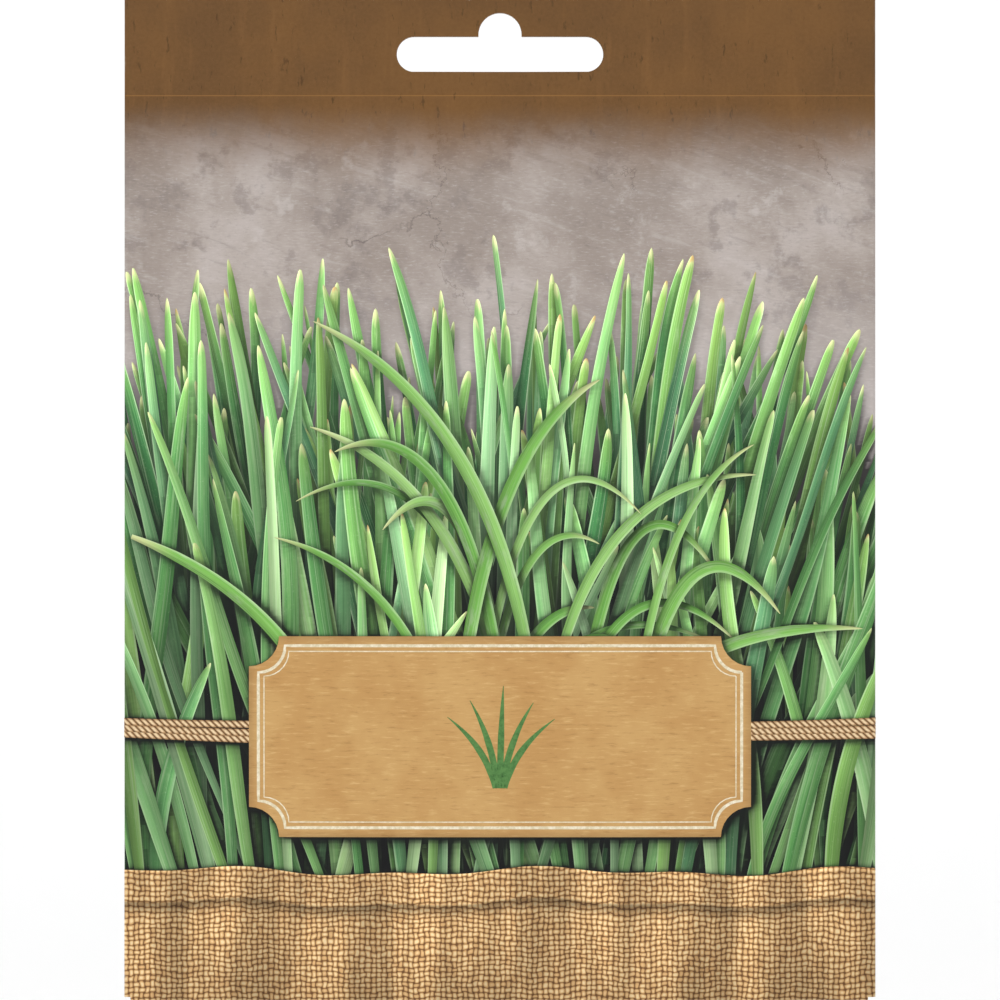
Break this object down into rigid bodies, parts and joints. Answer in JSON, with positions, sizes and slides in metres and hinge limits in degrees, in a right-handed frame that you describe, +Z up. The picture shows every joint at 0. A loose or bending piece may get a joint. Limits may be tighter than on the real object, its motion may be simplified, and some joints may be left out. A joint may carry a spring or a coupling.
{
  "type": "seed packet",
  "caption": "Flat paper seed packet with a hang slot in its sealed header, folded and glued from one printed sheet, holding loose chive seeds.",
  "frame": {"origin": "the highest point of the hang slot, halfway through the header, where the rod of a display hook carries the packet", "axes": "+Z up along the packet's height, +X to the right as seen from the printed front, +Y out of the back, so the printed front faces -Y"},
  "size_m": [0.12, 0.0052, 0.16],
  "materials": {
    "printed_paper": "coated paper, printed all over the front in greens, browns and tans, satin",
    "dried_glue": "thin dried adhesive",
    "seed_husk": "black wrinkled seed coat, matte"
  },
  "bodies": {
    "root": {"envelope": "printed_paper", "header_seal": "dried_glue", "side_seam_glue": "dried_glue", "bottom_flap_glue": "dried_glue", "seeds": "seed_husk"}
  },
  "joints": []
}
